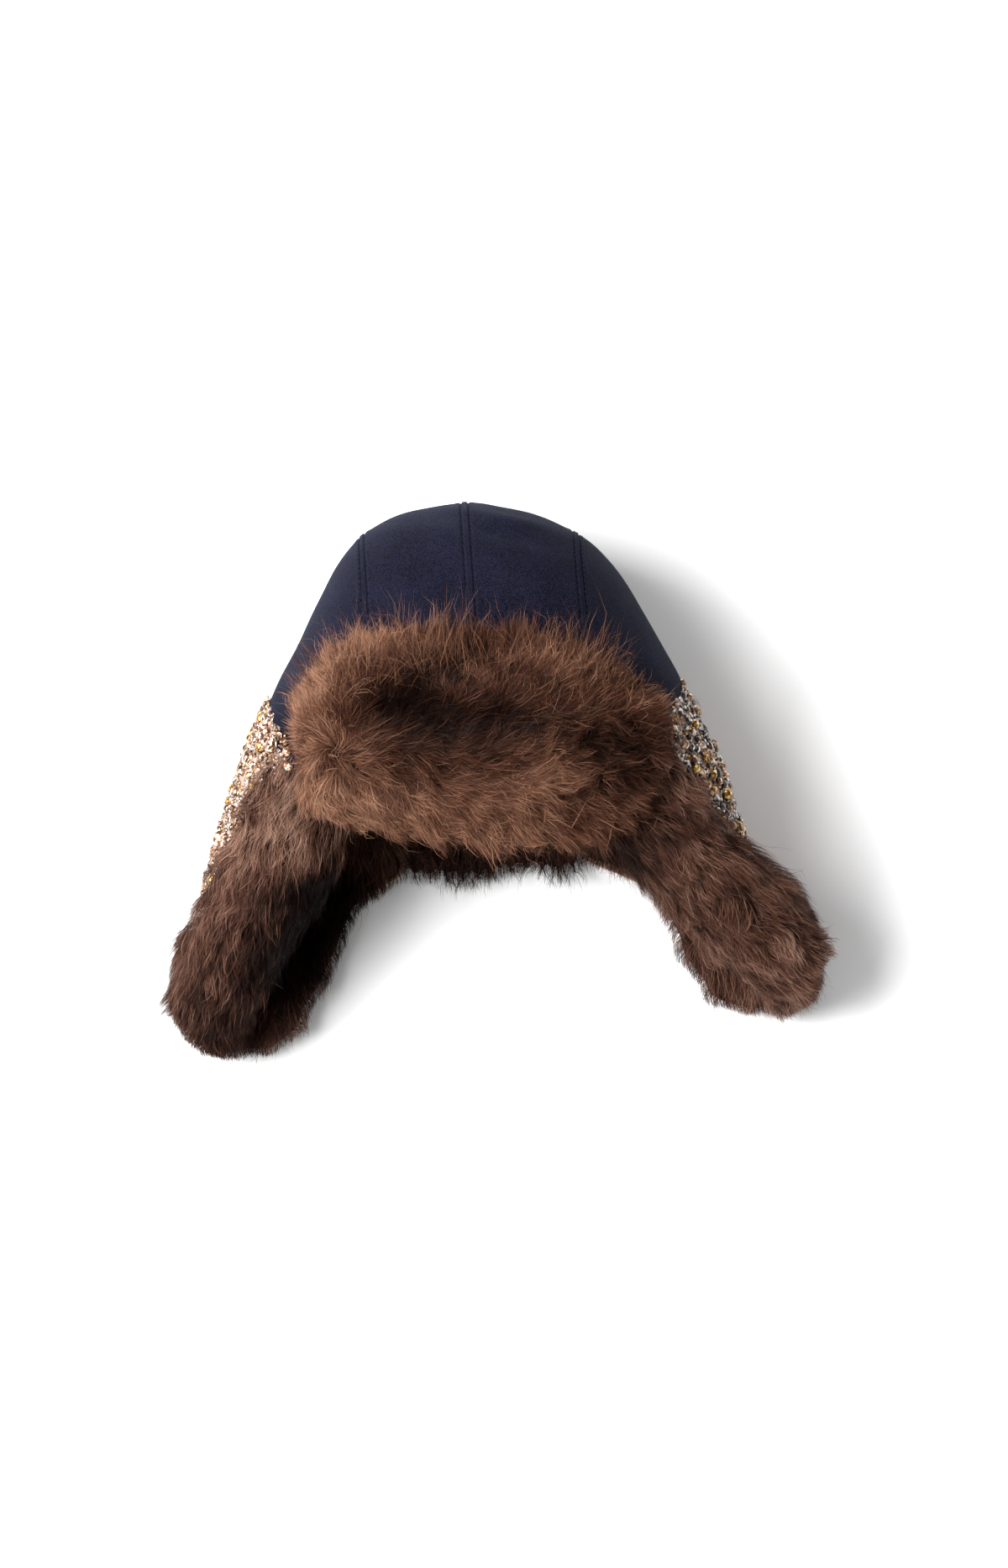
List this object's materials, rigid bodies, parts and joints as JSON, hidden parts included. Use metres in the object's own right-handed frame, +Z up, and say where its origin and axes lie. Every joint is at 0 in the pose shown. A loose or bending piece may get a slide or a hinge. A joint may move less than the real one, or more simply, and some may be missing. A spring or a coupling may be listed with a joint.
{
  "type": "fur-trimmed winter hat",
  "caption": "Winter hat with a seamed wool crown, a turned-up fur front and wide fur-lined ear flaps whose outer sides carry fields of beads and cut stones.",
  "frame": {"origin": "centre of the bounding box at the surface the hat lies on", "axes": "+X to the right as the front is seen from above, across both ear flaps; +Y to the top of the crown; +Z up from the surface, through the hat's front. The head opening faces -Y"},
  "size_m": [0.366, 0.2936, 0.189],
  "materials": {
    "wool": "felted melton wool, matte, with topstitched seams",
    "brim_fur": "sheared and clumped shearling, brown with lighter tips",
    "flap_fur": "sheared and clumped shearling, brown with lighter tips",
    "dark_fur": "short dark shearling",
    "lining": "nude woven cloth",
    "beads": "glass beads and cut stones on a nude net"
  },
  "bodies": {
    "root": {"crown_side_left": "wool", "crown_center_left": "wool", "crown_center_right": "wool", "crown_side_right": "wool", "brim_cloth": "wool", "brim_fur": "brim_fur", "ear_flap_cloth_left": "lining", "ear_flap_cloth_right": "lining", "bead_field_left": "beads", "bead_field_right": "beads", "ear_flap_fur_left": "flap_fur", "ear_flap_fur_right": "flap_fur", "nape_cloth": "lining", "nape_fur": "dark_fur"}
  },
  "joints": []
}
